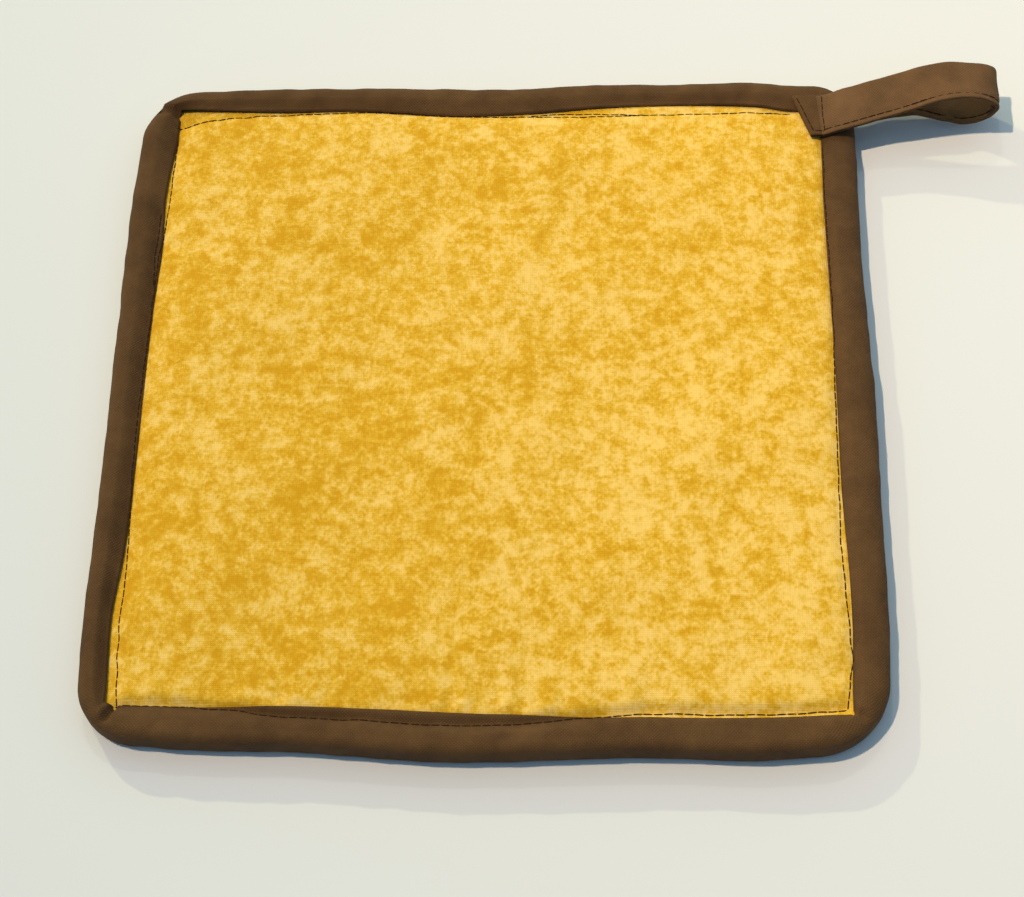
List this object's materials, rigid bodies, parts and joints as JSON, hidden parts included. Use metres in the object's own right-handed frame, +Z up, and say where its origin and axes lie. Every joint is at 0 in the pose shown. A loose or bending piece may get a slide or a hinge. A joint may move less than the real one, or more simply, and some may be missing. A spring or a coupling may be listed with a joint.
{
  "type": "pot holder",
  "caption": "Square padded cotton pot holder with a folded contrasting binding sewn round its edge and a hanging loop at one corner.",
  "frame": {"origin": "middle of the pad's underside, on the surface it lies on", "axes": "+X towards the side that the hanging loop leaves, +Y towards the far edge beside the loop, +Z up through the pad"},
  "size_m": [0.2429, 0.2053, 0.0167],
  "materials": {
    "yellow_print": "matte woven cotton with a mottled yellow print",
    "brown_tape": "matte woven cotton tape cut on the bias"
  },
  "bodies": {
    "root": {"pad": "yellow_print", "binding": "brown_tape", "hanging_loop": "brown_tape"}
  },
  "joints": []
}
